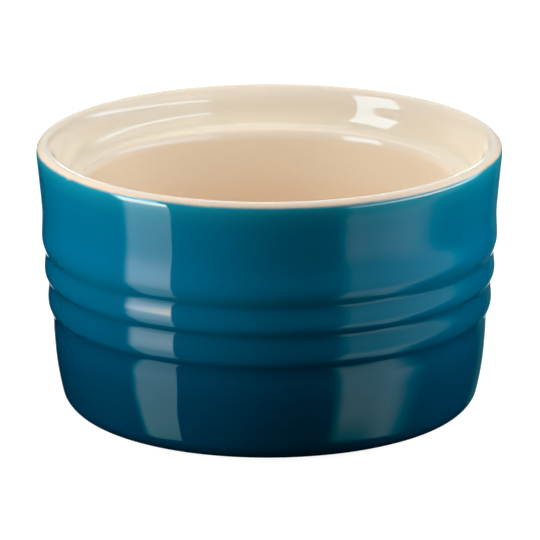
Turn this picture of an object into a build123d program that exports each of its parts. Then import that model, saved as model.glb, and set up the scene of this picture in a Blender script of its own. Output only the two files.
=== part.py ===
from build123d import *
import os
from math import asin, cos, degrees, radians, sin, tan

# A round stoneware ramekin that stacks: two raised ribs run round its outside,
# and a ledge inside the mouth carries the base of the next one.
# Millimetres, +Z up. The origin lies on the axis, on the surface that the foot stands on.
# Angles are in degrees from upright.

# Overall sizes
height = 54.3
wall_radius = 45.3
rim_flare = 1.1
rim_thickness = 3.2
glaze = 0.4

# Upper wall: a slight swell below its waist, then its lower edge
waist_height = 37.2
waist_to_swell = 1.8
swell_proud = 0.15
waist_to_edge = 3.9
edge_inset = 0.2

# Ribs: each hangs below the edge above it and steps a little further in
rib_count = 2
rib_pitch = 6.05
rib_step = 0.52
crest_above_edge = 2.2
crest_proud = 0.33
groove_drop = 0.4
groove_depth = 0.7

# Lower wall, belly and corner
lower_wall_inset = 2.1
fade_height = 4.1
belly_radius = 57.0
corner_radius = 4.5

# Foot ring, bare of glaze, and the hollow of the underside inside it
foot_step = 0.45
foot_inset = 0.8
foot_width = 3.2
foot_round = 0.5
underside_depth = 1.6

# Stacking recess inside the rim: a soft shoulder, a wall that leans out, and a cove
shoulder_angle = 28.0
shoulder_radius = 8.4
recess_draft = 11.6
cove_depth = 4.5
cove_radius = 8.0
crease_radius = 0.8
recess_depth = 7.6

# Ledge, and its edge over the bowl
ledge_reach = 6.6
nose_radius = 0.8
throat_angle = 28.0
throat_radius = 4.0

# Bowl below the ledge
bowl_draft = 2.0
floor_thickness = 5.0
floor_round = 8.0

# The line on the rim where the two glazes meet lies this far below the top
glaze_line_drop = 0.9

# Rim
rim_radius = wall_radius + rim_flare
rim_round = rim_thickness / 2
rim_centre = (rim_radius - rim_round, height - rim_round)
glaze_line_angle = degrees(asin((rim_round - glaze_line_drop) / rim_round))

# Upper wall and ribs
swell_height = waist_height - waist_to_swell
edge_height = waist_height - waist_to_edge
last_edge_height = edge_height - rib_count * rib_pitch

# Belly and corner: two arcs that run on smoothly and end level at the foot
lower_wall_radius = wall_radius - lower_wall_inset
lower_wall_height = last_edge_height - fade_height
belly_centre = (lower_wall_radius - belly_radius, lower_wall_height)
belly_rise = lower_wall_height - foot_step - corner_radius
belly_angle = asin(belly_rise / (belly_radius - corner_radius))
corner_centre = (
    belly_centre[0] + (belly_radius - corner_radius) * cos(belly_angle),
    foot_step + corner_radius,
)
foot_radius = corner_centre[0] - foot_inset
foot_inner_radius = foot_radius - foot_width

# Stacking recess: each arc runs on from the one before it
recess_radius = rim_radius - rim_thickness
ledge_height = height - recess_depth
cove_height = height - cove_depth
shoulder_turn = radians(shoulder_angle)
shoulder_shift = shoulder_radius - rim_round
shoulder_centre = (
    rim_centre[0] + shoulder_shift * cos(shoulder_turn),
    rim_centre[1] - shoulder_shift * sin(shoulder_turn),
)
lean = radians(recess_draft)
recess_wall_top = (
    shoulder_centre[0] - shoulder_radius * cos(lean),
    shoulder_centre[1] + shoulder_radius * sin(lean),
)
recess_wall_reach = (recess_wall_top[1] - cove_height) * tan(lean)
cove_centre = (
    recess_wall_top[0] - recess_wall_reach - cove_radius * cos(lean),
    cove_height + cove_radius * sin(lean),
)
crease_shift = cove_radius - crease_radius
crease_height = ledge_height + crease_radius
crease_turn = asin((cove_centre[1] - crease_height) / crease_shift)
crease_angle = degrees(crease_turn)
crease_centre = (cove_centre[0] + crease_shift * cos(crease_turn), crease_height)

# Ledge, bowl wall and the round at the floor
throat_turn = radians(throat_angle)
throat_shift = throat_radius - nose_radius
throat_centre = (
    recess_radius - ledge_reach + throat_radius,
    ledge_height - nose_radius - throat_shift * sin(throat_turn),
)
nose_centre = (
    throat_centre[0] - throat_shift * cos(throat_turn),
    ledge_height - nose_radius,
)
draft = radians(bowl_draft)
floor_height = underside_depth + floor_thickness
floor_round_height = floor_height + floor_round
bowl_wall_drop = throat_centre[1] - floor_round_height
bowl_wall_reach = (bowl_wall_drop * sin(draft) + throat_radius + floor_round) / cos(draft)
floor_round_centre = (throat_centre[0] - bowl_wall_reach, floor_round_height)


def around(centre, radius, angle):
    """The point at this radius and angle from a centre."""
    turn = radians(angle)
    return (centre[0] + radius * cos(turn), centre[1] + radius * sin(turn))


def outside_wall(inset, start_angle):
    """Draw the outside from the rim to the foot, this far inside the glazed surface."""
    rim_arc = CenterArc(rim_centre, rim_round - inset, start_angle, -start_angle)
    waist = (wall_radius - inset, waist_height)
    TangentArc(waist, rim_arc @ 1, tangent=(0, 1))
    edge = (wall_radius - edge_inset - inset, edge_height)
    swell = (wall_radius + swell_proud - inset, swell_height)
    Spline(waist, swell, edge)
    for _ in range(rib_count):
        groove = (edge[0] - groove_depth, edge[1] - groove_drop)
        next_edge = (edge[0] - rib_step, edge[1] - rib_pitch)
        crest = (next_edge[0] + crest_proud, next_edge[1] + crest_above_edge)
        Line(edge, groove)
        ThreePointArc(groove, crest, next_edge)
        edge = next_edge
    TangentArc((lower_wall_radius - inset, lower_wall_height), edge, tangent=(0, 1))
    turn = degrees(belly_angle)
    CenterArc(belly_centre, belly_radius - inset, 0, -turn)
    corner_arc = CenterArc(corner_centre, corner_radius - inset, -turn, turn - 90)
    Line(corner_arc @ 1, (foot_radius, foot_step + inset))


def inside_wall(inset, start_angle):
    """Draw the inside from the rim to the middle of the floor, this far behind the glaze."""
    rim_end = 180 - shoulder_angle
    CenterArc(rim_centre, rim_round - inset, start_angle, rim_end - start_angle)
    shoulder_arc = CenterArc(
        shoulder_centre, shoulder_radius - inset, rim_end, shoulder_angle - recess_draft
    )
    cove_arc = CenterArc(
        cove_centre, cove_radius + inset, -recess_draft, recess_draft - crease_angle
    )
    Line(shoulder_arc @ 1, cove_arc @ 0)
    crease_arc = CenterArc(
        crease_centre, crease_radius + inset, -crease_angle, crease_angle - 90
    )
    nose_arc = CenterArc(nose_centre, nose_radius - inset, 90, 90 - throat_angle)
    Line(crease_arc @ 1, nose_arc @ 0)
    throat_arc = CenterArc(
        throat_centre, throat_radius - inset, 180 - throat_angle, throat_angle - bowl_draft
    )
    floor_arc = CenterArc(floor_round_centre, floor_round + inset, -bowl_draft, bowl_draft - 90)
    Line(throat_arc @ 1, floor_arc @ 0)
    Line(floor_arc @ 1, (0, floor_height - inset))


# Fired clay body, with its bare foot ring
with BuildPart() as stoneware_body:
    with BuildSketch(Plane.XZ):
        with BuildLine():
            outside_wall(glaze, 90)
            inside_wall(glaze, 90)
            Polyline(
                (foot_radius, foot_step + glaze),
                (foot_radius, 0),
                (foot_inner_radius, 0),
                (foot_inner_radius, underside_depth),
                (0, underside_depth),
                (0, floor_height - glaze),
            )
        make_face()
    revolve(axis=Axis.Z)
    fillet(stoneware_body.edges().group_by(Axis.Z)[0], radius=foot_round)
stoneware_body.part.label = "stoneware_body"

# Coloured glaze on the outside, from the line on the rim to the foot ring
with BuildPart() as outer_glaze:
    with BuildSketch(Plane.XZ):
        with BuildLine():
            outside_wall(0, glaze_line_angle)
            outside_wall(glaze, glaze_line_angle)
            Line(
                around(rim_centre, rim_round, glaze_line_angle),
                around(rim_centre, rim_round - glaze, glaze_line_angle),
            )
            Line((foot_radius, foot_step), (foot_radius, foot_step + glaze))
        make_face()
    revolve(axis=Axis.Z)
outer_glaze.part.label = "outer_glaze"

# Pale glaze over the rim and down the inside
with BuildPart() as inner_glaze:
    with BuildSketch(Plane.XZ):
        with BuildLine():
            inside_wall(0, glaze_line_angle)
            inside_wall(glaze, glaze_line_angle)
            Line(
                around(rim_centre, rim_round, glaze_line_angle),
                around(rim_centre, rim_round - glaze, glaze_line_angle),
            )
            Line((0, floor_height), (0, floor_height - glaze))
        make_face()
    revolve(axis=Axis.Z)
inner_glaze.part.label = "inner_glaze"

# Coloured glaze on the underside, in the hollow inside the foot ring
with BuildPart() as base_glaze:
    with BuildSketch(Plane.XY.offset(underside_depth - glaze)):
        Circle(foot_inner_radius)
    extrude(amount=glaze)
base_glaze.part.label = "base_glaze"

os.makedirs("parts", exist_ok=True)
export_step(stoneware_body.part, "parts/stoneware_body.step")
export_step(outer_glaze.part, "parts/outer_glaze.step")
export_step(inner_glaze.part, "parts/inner_glaze.step")
export_step(base_glaze.part, "parts/base_glaze.step")
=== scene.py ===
import math

import bpy
import numpy as np
from mathutils import Matrix, Vector


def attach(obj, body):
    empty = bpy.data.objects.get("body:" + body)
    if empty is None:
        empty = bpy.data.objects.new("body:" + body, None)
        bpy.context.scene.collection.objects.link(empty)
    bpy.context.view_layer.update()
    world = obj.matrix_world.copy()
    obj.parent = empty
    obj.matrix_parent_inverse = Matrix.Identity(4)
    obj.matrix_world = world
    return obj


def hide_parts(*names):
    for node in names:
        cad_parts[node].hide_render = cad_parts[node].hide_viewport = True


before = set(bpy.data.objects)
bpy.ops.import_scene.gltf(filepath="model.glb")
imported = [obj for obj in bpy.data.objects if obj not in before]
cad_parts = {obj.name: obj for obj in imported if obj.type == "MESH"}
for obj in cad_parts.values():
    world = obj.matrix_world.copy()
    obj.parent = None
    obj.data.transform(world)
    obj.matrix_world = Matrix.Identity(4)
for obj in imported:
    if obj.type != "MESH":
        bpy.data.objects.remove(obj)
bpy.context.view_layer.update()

MM = 0.001

# ---------------------------------------------------------------- camera
# The photograph's viewing angle, in millimetres and degrees
CAMERA_DISTANCE = 1200.0
CAMERA_ELEVATION = 16.464
CAMERA_ROLL = 0.169
TARGET_HEIGHT = 27.4
LENS = 399.9
SENSOR_WIDTH = 36.0
SHIFT = (0.00074, 0.00093)
CLIP_METRES = (0.05, 20.0)

elevation = math.radians(CAMERA_ELEVATION)
back = Vector((0, -math.cos(elevation), math.sin(elevation)))
camera_data = bpy.data.cameras.new("camera")
camera_data.lens = LENS
camera_data.sensor_width = SENSOR_WIDTH
camera_data.shift_x, camera_data.shift_y = SHIFT
camera_data.clip_start, camera_data.clip_end = CLIP_METRES
camera = bpy.data.objects.new("camera", camera_data)
bpy.context.scene.collection.objects.link(camera)
camera.rotation_mode = "QUATERNION"
camera.location = (Vector((0, 0, TARGET_HEIGHT)) + back * CAMERA_DISTANCE) * MM
facing = (-back).to_track_quat("-Z", "Y").to_matrix()
camera.rotation_quaternion = (
    facing @ Matrix.Rotation(math.radians(-CAMERA_ROLL), 3, "Z")
).to_quaternion()
bpy.context.scene.camera = camera
bpy.context.scene.view_settings.view_transform = "Standard"

# ---------------------------------------------------------------- the turned outline
# The same sizes as the CAD source, in millimetres
HEIGHT = 54.3
RIM_RADIUS = 46.4
RIM_THICKNESS = 3.2
GLAZE = 0.4
LINE_DROP = 0.9
BELLY_RADIUS = 57.0
CORNER_RADIUS = 4.5
FOOT_STEP = 0.45
FOOT_INSET = 0.8
SHOULDER_ANGLE = 28.0
SHOULDER_RADIUS = 8.4
RECESS_DRAFT = 11.6
COVE_DEPTH = 4.5
COVE_RADIUS = 8.0
CREASE_RADIUS = 0.8
RECESS_DEPTH = 7.6
LEDGE_REACH = 6.6
NOSE_RADIUS = 0.8
THROAT_ANGLE = 28.0
THROAT_RADIUS = 4.0
BOWL_DRAFT = 2.0
FLOOR_HEIGHT = 6.6
FLOOR_ROUND = 8.0

# The outside as the glaze leaves it. The rim's round ends at RIM_END, in degrees, and
# WALL goes on from it, by radius and height. The belly's arc stands upright at
# LOWER_WALL, and is drawn from BELLY_JOIN below the end of WALL. The glaze softens the
# clay's bends: it lies up to 0.2 mm off the CAD source's wall, and up to 0.5 mm in its
# sharp grooves.
RIM_END = 22.0
LOWER_WALL = (43.23, 17.1)
BELLY_JOIN = 0.8
WALL = [
    (46.312, 53.15),
    (46.338, 52.98),
    (46.358, 52.8),
    (46.372, 52.6),
    (46.379, 52.4),
    (46.378, 52.2),
    (46.366, 51.9),
    (46.345, 51.6),
    (46.312, 51.2),
    (46.262, 50.6),
    (46.180, 49.8),
    (46.080, 48.7),
    (45.970, 47.5),
    (45.855, 46.3),
    (45.735, 45.0),
    (45.620, 43.75),
    (45.515, 42.5),
    (45.430, 41.2),
    (45.395, 40.0),
    (45.420, 38.7),
    (45.465, 37.5),
    (45.505, 36.6),
    (45.515, 35.9),
    (45.475, 35.2),
    (45.360, 34.55),
    (45.19, 33.95),
    (45.00, 33.45),
    (44.84, 33.0),
    (44.77, 32.6),
    (44.79, 32.0),
    (44.88, 31.0),
    (44.98, 30.0),
    (45.02, 29.2),
    (44.98, 28.5),
    (44.84, 27.95),
    (44.62, 27.5),
    (44.36, 27.1),
    (44.23, 26.7),
    (44.20, 26.1),
    (44.25, 25.0),
    (44.34, 23.9),
    (44.39, 23.0),
    (44.35, 22.2),
    (44.22, 21.55),
    (44.02, 21.0),
    (43.80, 20.5),
    (43.61, 19.8),
    (43.48, 19.0),
    (43.38, 18.0),
    (43.33, 17.0),
    (43.28, 16.0),
    (43.21, 14.8),
]

# How finely the outline is drawn, and how far glaze flows over a bend
FINE = 0.05
THREAD_POINTS = 16
GLAZE_FLOW = 0.22
LINING_FLOW = 0.1
RIM_ROUND = RIM_THICKNESS / 2
RIM_CENTRE = (RIM_RADIUS - RIM_ROUND, HEIGHT - RIM_ROUND)
LINE_ANGLE = math.degrees(math.asin((RIM_ROUND - LINE_DROP) / RIM_ROUND))


def arc(centre, radius, start, turn):
    count = max(3, int(abs(math.radians(turn)) * radius / FINE) + 2)
    angles = np.radians(np.linspace(start, start + turn, count))
    return np.column_stack(
        (centre[0] + radius * np.cos(angles), centre[1] + radius * np.sin(angles))
    )


def run(start, end):
    """A straight line."""
    count = max(2, int(math.dist(start, end) / FINE) + 2)
    return np.linspace(start, end, count)


def threaded(points):
    """A smooth line through these points."""
    points = np.array(points)
    before = 2 * points[0] - points[1]
    after = 2 * points[-1] - points[-2]
    all_points = np.vstack((before, points, after))
    pieces = []
    for k in range(1, len(points)):
        p, q, r, s = all_points[k - 1 : k + 3]
        t = np.linspace(0, 1, THREAD_POINTS)[:, None]
        bend = 2 * p - 5 * q + 4 * r - s
        twist = -p + 3 * q - 3 * r + s
        pieces.append(0.5 * (2 * q + (r - p) * t + bend * t**2 + twist * t**3))
    return np.vstack(pieces)


def outside():
    """The outer skin's outline, from the glaze line on the rim to the foot."""
    parts = [arc(RIM_CENTRE, RIM_ROUND, LINE_ANGLE, RIM_END - LINE_ANGLE), threaded(WALL)]
    belly = (LOWER_WALL[0] - BELLY_RADIUS, LOWER_WALL[1])
    rise = LOWER_WALL[1] - FOOT_STEP - CORNER_RADIUS
    turn = math.asin(rise / (BELLY_RADIUS - CORNER_RADIUS))
    start = -math.asin((belly[1] - WALL[-1][1] + BELLY_JOIN) / BELLY_RADIUS)
    parts.append(arc(belly, BELLY_RADIUS, math.degrees(start), -math.degrees(turn + start)))
    corner = (
        belly[0] + (BELLY_RADIUS - CORNER_RADIUS) * math.cos(turn),
        FOOT_STEP + CORNER_RADIUS,
    )
    parts.append(arc(corner, CORNER_RADIUS, -math.degrees(turn), math.degrees(turn) - 90))
    parts.append(run((corner[0], FOOT_STEP), (corner[0] - FOOT_INSET, FOOT_STEP)))
    return np.vstack(parts)


def inside():
    """The inner skin's outline, from the glaze line on the rim to the middle of the floor."""
    rim_end = 180 - SHOULDER_ANGLE
    parts = [arc(RIM_CENTRE, RIM_ROUND, LINE_ANGLE, rim_end - LINE_ANGLE)]
    tilt = math.radians(SHOULDER_ANGLE)
    shift = SHOULDER_RADIUS - RIM_ROUND
    shoulder = (RIM_CENTRE[0] + shift * math.cos(tilt), RIM_CENTRE[1] - shift * math.sin(tilt))
    parts.append(arc(shoulder, SHOULDER_RADIUS, rim_end, SHOULDER_ANGLE - RECESS_DRAFT))
    lean = math.radians(RECESS_DRAFT)
    top = parts[-1][-1]
    cove_height = HEIGHT - COVE_DEPTH
    cove = (
        top[0] - (top[1] - cove_height) * math.tan(lean) - COVE_RADIUS * math.cos(lean),
        cove_height + COVE_RADIUS * math.sin(lean),
    )
    ledge = HEIGHT - RECESS_DEPTH
    crease_height = ledge + CREASE_RADIUS
    turn = math.asin((cove[1] - crease_height) / (COVE_RADIUS - CREASE_RADIUS))
    crease = (cove[0] + (COVE_RADIUS - CREASE_RADIUS) * math.cos(turn), crease_height)
    cove_arc = arc(cove, COVE_RADIUS, -RECESS_DRAFT, RECESS_DRAFT - math.degrees(turn))
    parts += [run(top, cove_arc[0]), cove_arc]
    parts.append(arc(crease, CREASE_RADIUS, -math.degrees(turn), math.degrees(turn) - 90))
    tilt = math.radians(THROAT_ANGLE)
    shift = THROAT_RADIUS - NOSE_RADIUS
    throat = (
        RIM_RADIUS - RIM_THICKNESS - LEDGE_REACH + THROAT_RADIUS,
        ledge - NOSE_RADIUS - shift * math.sin(tilt),
    )
    nose = (throat[0] - shift * math.cos(tilt), ledge - NOSE_RADIUS)
    nose_arc = arc(nose, NOSE_RADIUS, 90, 90 - THROAT_ANGLE)
    parts += [run(parts[-1][-1], nose_arc[0]), nose_arc]
    parts.append(arc(throat, THROAT_RADIUS, 180 - THROAT_ANGLE, THROAT_ANGLE - BOWL_DRAFT))
    draft = math.radians(BOWL_DRAFT)
    round_height = FLOOR_HEIGHT + FLOOR_ROUND
    drop = throat[1] - round_height
    reach = (drop * math.sin(draft) + THROAT_RADIUS + FLOOR_ROUND) / math.cos(draft)
    floor_arc = arc(
        (throat[0] - reach, round_height), FLOOR_ROUND, -BOWL_DRAFT, BOWL_DRAFT - 90
    )
    parts += [run(parts[-1][-1], floor_arc[0]), floor_arc]
    parts.append(run(floor_arc[-1], (0, FLOOR_HEIGHT)))
    return np.vstack(parts)


def along(points):
    """The length of the line up to each of its points."""
    return np.concatenate(([0], np.cumsum(np.hypot(*np.diff(points, axis=0).T))))


def read_at(places, known, values):
    """Values known at some places of a line, one or more to a place, read at others."""
    if values.ndim == 1:
        return np.interp(places, known, values)
    return np.column_stack([np.interp(places, known, column) for column in values.T])


def evenly(points, step):
    """The line through these points, divided evenly."""
    length = along(points)
    return read_at(np.linspace(0, length[-1], int(length[-1] / step) + 1), length, points)


def softened(line, spread):
    """The line after glaze has flowed: its corners rounded, its ends kept."""
    reach = int(4 * spread / FINE)
    weight = np.exp(-0.5 * (np.arange(-reach, reach + 1) * FINE / spread) ** 2)
    weight /= weight.sum()
    before = 2 * line[0] - line[reach:0:-1]
    after = 2 * line[-1] - line[-2 : -reach - 2 : -1]
    longer = np.vstack((before, line, after))
    return np.column_stack([np.convolve(column, weight, "valid") for column in longer.T])


def turning(line):
    """The line's direction, in radians, all the way along."""
    step = np.gradient(line, axis=0)
    return np.unwrap(np.arctan2(step[:, 1], step[:, 0]))


def outward(line, side):
    """The line's normals on the glaze's open side."""
    angle = turning(line)
    return np.column_stack((-np.sin(angle), np.cos(angle))) * side


# The rows of points up a skin, in millimetres and radians
FINEST_ROW = 0.1
ROW_BEND = 0.09
LEAST_BEND = 1e-6
ROW_REACH = 0.6


def chosen_rows(line, coarsest):
    """Positions along the line: close together where it bends."""
    bend = np.abs(np.gradient(turning(line))) / FINE
    spacing = np.clip(ROW_BEND / np.maximum(bend, LEAST_BEND), FINEST_ROW, coarsest)
    reach = int(ROW_REACH / FINE)
    padded = np.pad(spacing, reach, mode="edge")
    spacing = np.array([padded[k : k + 2 * reach + 1].min() for k in range(len(spacing))])
    rows = np.concatenate(([0], np.cumsum(FINE / spacing[:-1])))
    return np.interp(np.linspace(0, rows[-1], int(rows[-1]) + 2), rows, np.arange(len(rows)))


# The dish isn't perfectly round. Each wave: how many go round, how far it turns with
# each millimetre of height, where it starts, and its share.
WOBBLE = 0.03
WOBBLE_WAVES = (
    (2, 0.0, 0.7, 0.35),
    (3, 0.02, 2.1, 0.25),
    (5, -0.05, 4.4, 0.2),
    (9, 0.11, 1.3, 0.1),
    (14, -0.17, 5.2, 0.1),
)
STEADY_RADIUS = 20.0

# The glaze line wanders. Each wave: how many go round, where it starts, and its height.
# Each run: its place in degrees, its half-width in radians, and how far it comes down.
LINE_WAVES = ((4, 1.0, 0.05), (11, 3.0, 0.035), (23, 0.4, 0.025), (41, 2.2, 0.02))
LINE_RUNS = ((212.0, 0.012, 0.3), (231.0, 0.14, 0.15), (308.0, 0.2, 0.2))


def wobble(angle, height):
    """How far the surface lies inside its true place, in millimetres."""
    wave = sum(
        np.sin(count * angle + start + height * twist) * share
        for count, twist, start, share in WOBBLE_WAVES
    )
    return WOBBLE * (1 - wave)


def line_wave(angle):
    """How far the glaze line wanders down the rim, in millimetres."""
    wave = sum(np.sin(count * angle + start) * size for count, start, size in LINE_WAVES)
    for place, width, drop in LINE_RUNS:
        away = (angle - math.radians(place) + math.pi) % (2 * math.pi) - math.pi
        wave = wave + drop * np.exp(-((away / width) ** 2))
    return wave


SEGMENTS = 320
RELIEF_SPREAD = 1.6
LINING_STEP = 0.9
FAR_FROM_LINE = 20
AT_AXIS = 1e-6


def ring_quads(low, high, side):
    """Faces between two rows, each given by the index of its first point."""
    here = np.arange(SEGMENTS)
    following = np.roll(here, -1)
    quads = np.column_stack((low + here, low + following, high + following, high + here))
    return (quads if side < 0 else quads[:, ::-1]).tolist()


def fan(ring, middle, side):
    """Faces between a row and one point in its middle."""
    here = np.arange(SEGMENTS)
    following = np.roll(here, -1)
    triangles = np.column_stack((ring + here, ring + following, np.full(SEGMENTS, middle)))
    return (triangles if side < 0 else triangles[:, ::-1]).tolist()


def set_normals(mesh, normals, is_skin):
    """The glaze's own smooth normals on its open side, and flat faces elsewhere."""
    corners = np.zeros(len(mesh.loops), np.int32)
    mesh.loops.foreach_get("vertex_index", corners)
    mesh.shade_smooth()
    loop_normals = np.zeros((len(corners), 3))
    for face in mesh.polygons:
        loops = slice(face.loop_start, face.loop_start + face.loop_total)
        if is_skin[corners[loops]].all():
            loop_normals[loops] = normals[corners[loops]]
        else:
            loop_normals[loops] = face.normal
    mesh.normals_split_custom_set(loop_normals.tolist())


def turned(name, line, inner_line, side, coarsest):
    """A closed skin turned round the axis. side is 1 outside and -1 inside.

    Its points carry their distance past the glaze line and their relief, which is how
    far they stand out from their wider surroundings, both in millimetres.
    """
    flow = softened(evenly(line, FINE), GLAZE_FLOW)
    flow[0] = line[0]
    wide = softened(evenly(flow, FINE), RELIEF_SPREAD)
    wide = read_at(np.linspace(0, 1, len(flow)), np.linspace(0, 1, len(wide)), wide)
    out = outward(flow, side)
    rows = chosen_rows(flow, coarsest)
    fine = np.arange(len(flow))
    shape = read_at(rows, fine, flow)
    distance = read_at(rows, fine, along(flow)) * side
    relief = read_at(rows, fine, ((flow - wide) * out).sum(1))
    normal = read_at(rows, fine, out)
    normal /= np.hypot(*normal.T)[:, None]
    lining = evenly(inner_line, LINING_STEP)[::-1]
    closes = shape[-1, 0] < AT_AXIS
    if closes:
        lining = lining[1:]
        shape, distance, relief, normal = (a[:-1] for a in (shape, distance, relief, normal))

    # Points: the skin's rows, then the lining's rows back up, then the middles
    turns = np.arange(SEGMENTS) * 2 * math.pi / SEGMENTS
    skin = len(shape)
    total = skin + len(lining)
    section = np.vstack((shape, lining))
    grid_r = np.repeat(section[:, :1], SEGMENTS, 1)
    grid_z = np.repeat(section[:, 1:], SEGMENTS, 1)
    depth = wobble(turns[None, :], shape[:, 1:]) * np.minimum(1, shape[:, :1] / STEADY_RADIUS)
    grid_r[:skin] -= depth * normal[:, :1]
    grid_z[:skin] -= depth * normal[:, 1:]
    points = np.stack((grid_r * np.cos(turns), grid_r * np.sin(turns), grid_z), -1)
    points = points.reshape(-1, 3)
    middle = len(points)
    faces = []
    for row in range(total - 1):
        if not (closes and row == skin - 1):
            faces += ring_quads(row * SEGMENTS, (row + 1) * SEGMENTS, side)
    if closes:
        middles = [[0, 0, FLOOR_HEIGHT], [0, 0, FLOOR_HEIGHT - GLAZE]]
        points = np.vstack((points, middles))
        faces += fan((skin - 1) * SEGMENTS, middle, side)
        faces += fan(skin * SEGMENTS, middle + 1, -side)
    faces += ring_quads((total - 1) * SEGMENTS, 0, side)
    mesh = bpy.data.meshes.new(name)
    mesh.from_pydata((points * MM).tolist(), [], faces)
    mesh.update()

    skin_points = skin * SEGMENTS
    line_distance = np.full(len(points), side * FAR_FROM_LINE, np.float32)
    line_distance[:skin_points] = (distance[:, None] - line_wave(turns)).ravel()
    relief_all = np.zeros(len(points), np.float32)
    relief_all[:skin_points] = np.repeat(relief, SEGMENTS)
    for label, values in (("line_distance", line_distance), ("relief", relief_all)):
        mesh.attributes.new(label, "FLOAT", "POINT").data.foreach_set("value", values)

    normals = np.zeros((len(points), 3))
    is_skin = np.zeros(len(points), bool)
    is_skin[:skin_points] = True
    level, up = normal[:, :1], normal[:, 1:]
    skin_normals = (level * np.cos(turns), level * np.sin(turns), np.repeat(up, SEGMENTS, 1))
    normals[:skin_points] = np.stack(skin_normals, -1).reshape(-1, 3)
    if closes:
        normals[middle] = (0, 0, 1)
        is_skin[middle] = True
    set_normals(mesh, normals, is_skin)
    piece = bpy.data.objects.new(name, mesh)
    bpy.context.scene.collection.objects.link(piece)
    return piece


def inset(line, side):
    """The clay's side of a glaze skin."""
    fine = softened(evenly(line, FINE), LINING_FLOW)
    return fine - outward(fine, side) * GLAZE


OUTER_ROW = 0.8
INNER_ROW = 1.2

outer_line = outside()
inner_line = inside()
inner_lining = inset(inner_line, -1)
inner_lining[-1, 0] = 0
outer = turned("outer_glaze_skin", outer_line, inset(outer_line, 1), 1, OUTER_ROW)
inner = turned("inner_glaze_skin", inner_line, inner_lining, -1, INNER_ROW)


# ---------------------------------------------------------------- materials
class Nodes:
    """A material's node tree, built one node at a time."""

    def __init__(self, name):
        self.material = bpy.data.materials.new(name)
        self.material.use_nodes = True
        self.tree = self.material.node_tree
        self.shader = self.tree.nodes["Principled BSDF"]

    def add(self, kind, inputs=None, **settings):
        node = self.tree.nodes.new(kind)
        for key, value in settings.items():
            setattr(node, key, value)
        for key, value in (inputs or {}).items():
            self.feed(node.inputs[key], value)
        return node

    def feed(self, socket, value):
        if isinstance(value, bpy.types.NodeSocket):
            self.tree.links.new(value, socket)
        else:
            socket.default_value = value

    def shade(self, **inputs):
        """Feed the shader's own sockets: Base_Color stands for Base Color."""
        for key, value in inputs.items():
            self.feed(self.shader.inputs[key.replace("_", " ")], value)

    def attribute(self, name):
        return self.add("ShaderNodeAttribute", attribute_name=name).outputs["Fac"]

    def math(self, operation, *values):
        node = self.add("ShaderNodeMath", operation=operation)
        for k, value in enumerate(values):
            self.feed(node.inputs[k], value)
        return node.outputs[0]

    def scaled(self, value, low, high, to_low=0.0, to_high=1.0, smooth=False):
        kind = "SMOOTHSTEP" if smooth else "LINEAR"
        node = self.add("ShaderNodeMapRange", interpolation_type=kind)
        for k, item in enumerate((value, low, high, to_low, to_high)):
            self.feed(node.inputs[k], item)
        return node.outputs[0]

    def noise(self, scale, detail=2.0, rough=0.5):
        """Noise over the object, with its scale in waves to the metre."""
        place = self.add("ShaderNodeTexCoord").outputs["Object"]
        inputs = {"Vector": place, "Scale": scale, "Detail": detail, "Roughness": rough}
        return self.add("ShaderNodeTexNoise", inputs).outputs["Fac"]

    def ramp(self, factor, stops):
        node = self.add("ShaderNodeValToRGB", {"Fac": factor})
        elements = node.color_ramp.elements
        while len(elements) < len(stops):
            elements.new(0.5)
        for element, (place, colour) in zip(elements, stops):
            element.position = place
            element.color = (*colour, 1.0)
        return node.outputs["Color"]

    def mix(self, factor, first, second):
        node = self.add("ShaderNodeMix", data_type="RGBA", clamp_factor=True)
        self.feed(node.inputs["Factor"], factor)
        for key, value in (("A", first), ("B", second)):
            is_socket = isinstance(value, bpy.types.NodeSocket)
            self.feed(node.inputs[key], value if is_socket else (*value, 1.0))
        return node.outputs["Result"]

    def bump(self, height, strength, distance, normal=None):
        inputs = {"Height": height, "Strength": strength, "Distance": distance}
        if normal is not None:
            inputs["Normal"] = normal
        return self.add("ShaderNodeBump", inputs).outputs["Normal"]


# The teal glaze by height in millimetres, darker towards the foot: partly the glaze's own
# grading and partly painted shade, darkest at the foot's corner. It steps darker just below
# each rib's edge and is lighter along the edge itself
TEAL_AND_SHADE_BY_HEIGHT = [
    (0.0, (0.0, 0.026, 0.060)),
    (3.0, (0.0, 0.041, 0.086)),
    (8.0, (0.0, 0.045, 0.095)),
    (13.0, (0.0, 0.049, 0.105)),
    (17.5, (0.0, 0.062, 0.130)),
    (20.6, (0.0, 0.057, 0.120)),
    (21.7, (0.0, 0.097, 0.186)),
    (22.6, (0.0, 0.090, 0.175)),
    (25.2, (0.0, 0.092, 0.178)),
    (26.7, (0.0, 0.088, 0.170)),
    (27.8, (0.0, 0.124, 0.228)),
    (28.9, (0.0, 0.121, 0.230)),
    (31.0, (0.0, 0.122, 0.227)),
    (32.8, (0.0, 0.113, 0.216)),
    (33.9, (0.0, 0.140, 0.243)),
    (35.5, (0.0, 0.143, 0.262)),
    (38.5, (0.0, 0.154, 0.290)),
    (45.0, (0.0, 0.161, 0.290)),
    (49.0, (0.0, 0.170, 0.298)),
    (51.5, (0.002, 0.214, 0.326)),
    (54.3, (0.008, 0.320, 0.405)),
]
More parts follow.
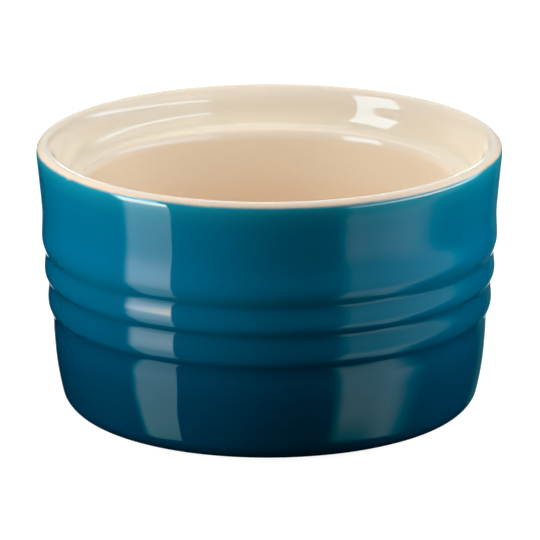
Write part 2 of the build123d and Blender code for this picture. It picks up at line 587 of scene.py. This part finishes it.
# The pale glaze by height, with painted light: warmer and darker deep in the bowl, painted
# light bounced within it, a paler band on the ledge, a painted sheen, and greyer up to the rim
CREAM_AND_LIGHT_BY_HEIGHT = [
    (0.0, (0.86, 0.690, 0.520)),
    (30.0, (0.87, 0.685, 0.505)),
    (34.4, (0.87, 0.705, 0.522)),
    (37.3, (0.862, 0.752, 0.580)),
    (43.8, (0.858, 0.745, 0.590)),
    (44.9, (0.858, 0.752, 0.598)),
    (45.6, (0.850, 0.780, 0.660)),
    (46.4, (0.850, 0.780, 0.660)),
    (47.2, (0.850, 0.742, 0.580)),
    (49.5, (0.820, 0.735, 0.592)),
    (52.0, (0.815, 0.738, 0.610)),
    (54.3, (0.815, 0.742, 0.625)),
]
TAN = (0.60, 0.38, 0.22)
PALE_CLOUD = (0.85, 0.78, 0.66)
BROWN_FLECK = (0.62, 0.47, 0.32)
LINE_CREAM = (0.80, 0.62, 0.46)
TEAL_FLECK = (0.02, 0.20, 0.30)

# Millimetres past the glaze line: where teal takes over, and where the cream grows warmer
LINE_SPAN = (-0.52, 0.28)
WARM_SPAN = (-1.6, -0.5)
# Relief in millimetres over which the glaze runs thin and the clay shows through
THIN_SPAN = (0.10, 0.55)
DRIFT = 0.0006
RAGGED = 0.16


def either_way(nodes, noise, size):
    """Noise turned into a shift of up to half this size either way."""
    return nodes.math("MULTIPLY_ADD", noise, size, -size / 2)


def by_height(nodes, stops):
    """A glaze's colour up the object, with a slight drift from the exact height."""
    place = nodes.add("ShaderNodeTexCoord").outputs["Object"]
    height = nodes.add("ShaderNodeSeparateXYZ", {0: place}).outputs["Z"]
    drift = either_way(nodes, nodes.noise(55.0), DRIFT)
    share = nodes.scaled(nodes.math("ADD", height, drift), 0.0, HEIGHT * MM)
    return nodes.ramp(share, [(level / HEIGHT, shade) for level, shade in stops])


def flecked(nodes, colour, scale, detail, span, share, fleck):
    """Small flecks of another colour, where the noise is over this span."""
    flecks = nodes.scaled(nodes.noise(scale, detail), *span)
    return nodes.mix(nodes.math("MULTIPLY", flecks, share), colour, fleck)


def teal_colour(nodes):
    # The colour by height carries painted shade towards the foot
    colour = by_height(nodes, TEAL_AND_SHADE_BY_HEIGHT)
    return flecked(nodes, colour, 2600.0, 2.0, (0.62, 0.74), 0.10, TEAL_FLECK)


def cream_colour(nodes):
    cloud = nodes.scaled(nodes.noise(70.0, 3.0), 0.3, 0.7, 0.0, 0.2)
    # The colour by height carries painted bounced light in the bowl and a painted sheen on the
    # ledge
    colour = nodes.mix(cloud, by_height(nodes, CREAM_AND_LIGHT_BY_HEIGHT), PALE_CLOUD)
    colour = flecked(nodes, colour, 1900.0, 1.0, (0.68, 0.76), 0.12, BROWN_FLECK)
    near_line = nodes.scaled(nodes.attribute("line_distance"), *WARM_SPAN, smooth=True)
    colour = nodes.mix(nodes.math("MULTIPLY", near_line, 0.8), colour, LINE_CREAM)
    thin = nodes.scaled(nodes.attribute("relief"), *THIN_SPAN)
    return nodes.mix(nodes.math("MULTIPLY", thin, 0.10), colour, TAN)


def line_factor(nodes):
    """0 in the cream glaze and 1 in the teal, with a ragged, soft change between."""
    ragged = either_way(nodes, nodes.noise(900.0, 3.0), RAGGED)
    distance = nodes.math("ADD", nodes.attribute("line_distance"), ragged)
    return nodes.scaled(distance, *LINE_SPAN, smooth=True)


def glaze(name, roughness):
    nodes = Nodes(name)
    smear = nodes.noise(140.0, 3.0)
    peel = nodes.bump(nodes.noise(420.0), 0.35, 0.00001)
    nodes.shade(
        Base_Color=nodes.mix(line_factor(nodes), cream_colour(nodes), teal_colour(nodes)),
        Roughness=nodes.scaled(smear, 0.3, 0.75, roughness * 0.7, roughness * 1.5),
        IOR=1.5,
        Normal=nodes.bump(nodes.noise(120.0, 1.0), 0.5, 0.00002, peel),
    )
    return nodes.material


def base_glaze():
    nodes = Nodes("base_coloured_glaze")
    cloud = nodes.scaled(nodes.noise(90.0, 3.0), 0.3, 0.7)
    nodes.shade(
        Base_Color=nodes.mix(cloud, (0.0, 0.030, 0.070), (0.001, 0.045, 0.095)),
        Roughness=nodes.scaled(cloud, 0.0, 1.0, 0.06, 0.11),
        Normal=nodes.bump(nodes.noise(300.0), 0.4, 0.00002),
    )
    return nodes.material


def fired_clay():
    nodes = Nodes("fired_clay")
    grain = nodes.noise(1400.0, 4.0, 0.65)
    cloud = nodes.scaled(nodes.noise(120.0, 3.0), 0.3, 0.7)
    colour = nodes.mix(cloud, (0.62, 0.50, 0.37), (0.70, 0.59, 0.46))
    nodes.shade(
        Base_Color=flecked(nodes, colour, 1100.0, 1.0, (0.66, 0.74), 0.5, (0.30, 0.19, 0.11)),
        Roughness=nodes.scaled(grain, 0.3, 0.7, 0.75, 0.92),
        Normal=nodes.bump(grain, 0.8, 0.00008),
    )
    return nodes.material


def paint(obj, material):
    obj.data.materials.clear()
    obj.data.materials.append(material)


paint(outer, glaze("coloured_glaze", 0.03))
paint(inner, glaze("pale_glaze", 0.022))
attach(outer, "root")
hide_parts("outer_glaze")
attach(inner, "root")
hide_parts("inner_glaze")
paint(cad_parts["base_glaze"], base_glaze())
paint(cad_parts["stoneware_body"], fired_clay())


# ---------------------------------------------------------------- studio
def emission(name, attribute=None):
    """A white light, or one coloured by an attribute of its mesh."""
    material = bpy.data.materials.new(name)
    material.use_nodes = True
    tree = material.node_tree
    tree.nodes.clear()
    output = tree.nodes.new("ShaderNodeOutputMaterial")
    light = tree.nodes.new("ShaderNodeEmission")
    light.inputs["Color"].default_value = (1, 1, 1, 1)
    if attribute:
        glow = tree.nodes.new("ShaderNodeAttribute")
        glow.attribute_name = attribute
        tree.links.new(glow.outputs["Color"], light.inputs["Color"])
    tree.links.new(light.outputs[0], output.inputs[0])
    return material


def see_only(obj, camera=False, diffuse=False, glossy=False):
    obj.visible_camera = camera
    obj.visible_diffuse = diffuse
    obj.visible_glossy = glossy
    obj.visible_transmission = False
    obj.visible_volume_scatter = False
    obj.visible_shadow = False


def rising(value, low, high):
    """0 up to low, 1 from high, and smooth between."""
    t = np.clip((value - low) / (high - low), 0, 1)
    return t * t * (3 - 2 * t)


def falling(value, low, high):
    """1 up to low, 0 from high, and smooth between."""
    return 1 - rising(value, low, high)


def looked_up(table, at):
    """The value at a place, from a table of places and values."""
    places, values = zip(*table)
    return np.interp(at, places, values)


# Radii of the cards in metres
LIGHT_RADIUS = 0.3
FAR_RADIUS = 2.0

# Reflections seen in the teal glaze come from below these heights in millimetres, and
# those in the pale glaze alone from above. The real teal is purer than a screen can
# show, so a reflection in it loses a set amount of red. Above, the light is bluish.
TEAL_SEES = (40.0, 60.0)
BLUE_BALANCE = 1.02
COOL_LOSES_RED = 0.32
COOL_ADDS_BLUE = 0.23

# The brightest light under those heights turns warm, which whitens the teal
WARM_LEVEL = (6, 10)
WARM_ADDS_RED = 0.3
WARM_LOSES_BLUE = 0.25


def glossy_colour(level, h, tint):
    """The colour of a card seen in the gloss, by its level and height."""
    cool = rising(h, *TEAL_SEES)
    warm = rising(level, *WARM_LEVEL) * (1 - cool)
    red = np.maximum(level * (1 - COOL_LOSES_RED * cool) - tint * (1 - cool), 0)
    blue = level * (BLUE_BALANCE + COOL_ADDS_BLUE * cool)
    return red * (1 + WARM_ADDS_RED * warm), blue * (1 - WARM_LOSES_BLUE * warm)


def card(name, radius, azimuths, heights, step, glow, tint=None):
    """An upright curved card round the object, from azimuth and height spans.

    Azimuth 0 is towards the camera, and right is positive. A card with a tint is seen
    in the gloss alone, and its tint is how much red it loses. A card without a tint
    lights the surfaces alone. step divides the card, in degrees and millimetres.
    """
    az = np.arange(azimuths[0], azimuths[1] + step[0] / 2, step[0])
    up = np.arange(heights[0], heights[1] + step[1] / 2, step[1])
    a, h = np.meshgrid(az, up)
    turn = np.radians(a)
    points = np.stack((np.sin(turn) * radius, -np.cos(turn) * radius, h * MM), -1)
    wide = len(az)
    low = (np.arange(len(up) - 1)[:, None] * wide + np.arange(wide - 1)).ravel()
    faces = np.column_stack((low, low + wide, low + wide + 1, low + 1)).tolist()
    mesh = bpy.data.meshes.new(name)
    mesh.from_pydata(points.reshape(-1, 3).tolist(), [], faces)
    level = glow(a, h).ravel()
    if tint is None:
        red, blue = level, level * BLUE_BALANCE
    else:
        red, blue = glossy_colour(level, h.ravel(), tint)
    colour = np.column_stack((red, level, blue, np.ones(len(level)))).astype(np.float32)
    attribute = mesh.attributes.new("glow", "FLOAT_COLOR", "POINT")
    attribute.data.foreach_set("color", colour.ravel())
    obj = bpy.data.objects.new(name, mesh)
    bpy.context.scene.collection.objects.link(obj)
    mesh.materials.append(emission(name + "_light", attribute="glow"))
    see_only(obj, glossy=tint is not None, diffuse=tint is None)


# The left light by height: its level, its edges in degrees, and how soft its left edge is
LEFT_LEVEL = (
    (-240, 1.2), (-206, 1.6), (-169, 1.8), (-136, 1.85), (-96, 2.0), (-83, 2.25),
    (-76, 2.35), (-60, 2.85), (-47, 3.3), (-31, 3.75), (-19, 4.1), (-8, 5.4),
    (5, 12.0), (60, 16.0), (75, 6.2),
)
LEFT_RIGHT_EDGE = (
    (-240, -52.5), (-206, -51.8), (-169, -50.8), (-136, -49.6),
    (-100, -47.6), (-15, -46.7), (50, -47.3), (75, -52.0),
)
LEFT_LEFT_EDGE = (
    (-240, -73.0), (-206, -75.0), (-150, -73.5), (-80, -73.0), (-45, -71.8),
    (-15, -70.6), (5, -72.5), (60, -74.0), (75, -80.0),
)
LEFT_SOFT = ((50, 3.5), (75, 1.5))

# The right light by height: the level of its near and far side, what is added all over,
# and where it ends. A strip low down adds to it by azimuth.
NEAR_LEVEL = (
    (-240, 0.6), (-206, 0.75), (-150, 1.2), (-93, 1.3), (-80, 1.15), (-65, 0.9), (-50, 0.8),
)
FAR_LEVEL = ((-240, 1.1), (-206, 1.3), (-100, 1.45), (-85, 1.5), (-60, 1.1), (-30, 0.9))
ADDED_LEVEL = ((-30, 0.0), (30, 0.1), (100, 0.3), (300, 0.3))
RIGHT_END = (
    (-240, 88), (-100, 88), (-80, 94), (-60, 102), (-45, 107), (-30, 118), (100, 130),
)
RIM_STRIP = ((34, 2), (50, 4), (76, 9), (104, 6))

# The back light by height: its level and half its width in degrees
BACK_LEVEL = (
    (-300, 0.9), (0, 0.9), (60, 1.1), (200, 1.0), (400, 0.3), (900, 0.2), (2400, 0.12),
)
BACK_HALF = ((-300, 14), (0, 14), (100, 7), (300, 8), (900, 20))


def left_glow(az, h):
    right = looked_up(LEFT_RIGHT_EDGE, h)
    left = looked_up(LEFT_LEFT_EDGE, h)
    soft = looked_up(LEFT_SOFT, h)
    notch = rising(h, 68, 78) * falling(h, 97, 107) * falling(az, -65, -60)
    within = rising(az, left - soft, left + soft) * falling(az, right - 0.5, right + 0.5)
    ends = falling(h, 258, 272) * rising(h, -256, -236)
    return looked_up(LEFT_LEVEL, h) * within * ends * (1 - 0.95 * notch)


def right_glow(az, h):
    far_share = rising(az, 50, 72)
    level = looked_up(NEAR_LEVEL, h) * (1 - far_share) + looked_up(FAR_LEVEL, h) * far_share
    high_strip = 4.2 * rising(h, 126, 134) * falling(h, 158, 168)
    low_strip = looked_up(RIM_STRIP, az) * rising(h, 8, 20) * falling(h, 48, 58)
    level = level + looked_up(ADDED_LEVEL, h) + high_strip + low_strip
    end = looked_up(RIGHT_END, h)
    return level * rising(az, 31, 40) * falling(az, end - 26, end) * rising(h, -256, -216)


def back_glow(az, h):
    away = np.abs(az - 180)
    half = looked_up(BACK_HALF, h)
    core = 3.8 * rising(h, -40, 20) * falling(h, 180, 300) * falling(away, 1, 3)
    light = looked_up(BACK_LEVEL, h) * falling(away, half - 4, half) + core
    faint = np.where(h < 0, 0.12, 0) * rising(az, 145, 155) * falling(az, 180, 190)
    return np.maximum(light, faint)


def even_glow(level, first, last):
    """The same light from side to side, with soft ends."""
    return lambda az, h: level * rising(az, first, first + 3) * falling(az, last - 3, last)


for name, radius, azimuths, heights, step, glow, tint in (
    ("left_light", LIGHT_RADIUS, (-84, -45), (-260, 275), (0.25, 2.5), left_glow, 0.95),
    ("right_light", LIGHT_RADIUS, (30, 132), (-260, 300), (0.5, 2.5), right_glow, 0.65),
    ("back_light", FAR_RADIUS, (145, 200), (-900, 2400), (0.5, 20.0), back_glow, 0.1),
):
    card(name, radius, azimuths, heights, step, glow, tint)
for name, level, first, last in (
    ("left_fill", 7.9, -77, -54),
    ("right_fill", 8.2, 74, 97),
    ("left_back_fill", 4.6, -165, -140),
    ("back_fill", 3.2, 165, 200),
    ("front_fill", 0.5, -28, -4),
):
    glow = even_glow(level, first, last)
    card(name, LIGHT_RADIUS, (first, last), (-60, 330), (1.0, 5.0), glow)

# The sky is bright overhead and nearly dark at the sides, and doesn't show in the gloss
SKY_FALL = 6.0
SKY_OVERHEAD = 2.2
SKY_ALL_ROUND = 0.02

world = bpy.data.worlds.new("studio")
bpy.context.scene.world = world
world.use_nodes = True
world.cycles_visibility.glossy = False
tree = world.node_tree
background = tree.nodes["Background"]
background.inputs["Color"].default_value = (1, 1, 1, 1)
place = tree.nodes.new("ShaderNodeTexCoord")
split = tree.nodes.new("ShaderNodeSeparateXYZ")
tree.links.new(place.outputs["Generated"], split.inputs[0])
strength = split.outputs["Z"]
for operation, number in (
    ("MAXIMUM", 0.0),
    ("POWER", SKY_FALL),
    ("MULTIPLY", SKY_OVERHEAD),
    ("ADD", SKY_ALL_ROUND),
):
    node = tree.nodes.new("ShaderNodeMath")
    node.operation = operation
    tree.links.new(strength, node.inputs[0])
    node.inputs[1].default_value = number
    strength = node.outputs[0]
tree.links.new(strength, background.inputs["Strength"])

# Floor and backdrop, seen only by the camera
FLOOR_RADIUS = 3.0
BACKDROP_RADIUS = 4.5
FLOOR_GREY = (0.32, 0.32, 0.32, 1)
FLOOR_GLOW = 0.94

bpy.ops.mesh.primitive_circle_add(
    vertices=96, radius=FLOOR_RADIUS, fill_type="NGON", location=(0, 0, 0)
)
floor = bpy.context.object
floor.name = "floor"
floor_nodes = Nodes("floor_white")
floor_nodes.shade(
    Base_Color=FLOOR_GREY,
    Roughness=0.9,
    Specular_IOR_Level=0.0,
    Emission_Color=(1, 1, 1, 1),
    Emission_Strength=FLOOR_GLOW,
)
floor.data.materials.append(floor_nodes.material)
see_only(floor, camera=True)

bpy.ops.mesh.primitive_uv_sphere_add(
    segments=64, ring_count=32, radius=BACKDROP_RADIUS, location=(0, 0, 0)
)
backdrop = bpy.context.object
backdrop.name = "backdrop"
backdrop.data.materials.append(emission("backdrop_white"))
see_only(backdrop, camera=True)
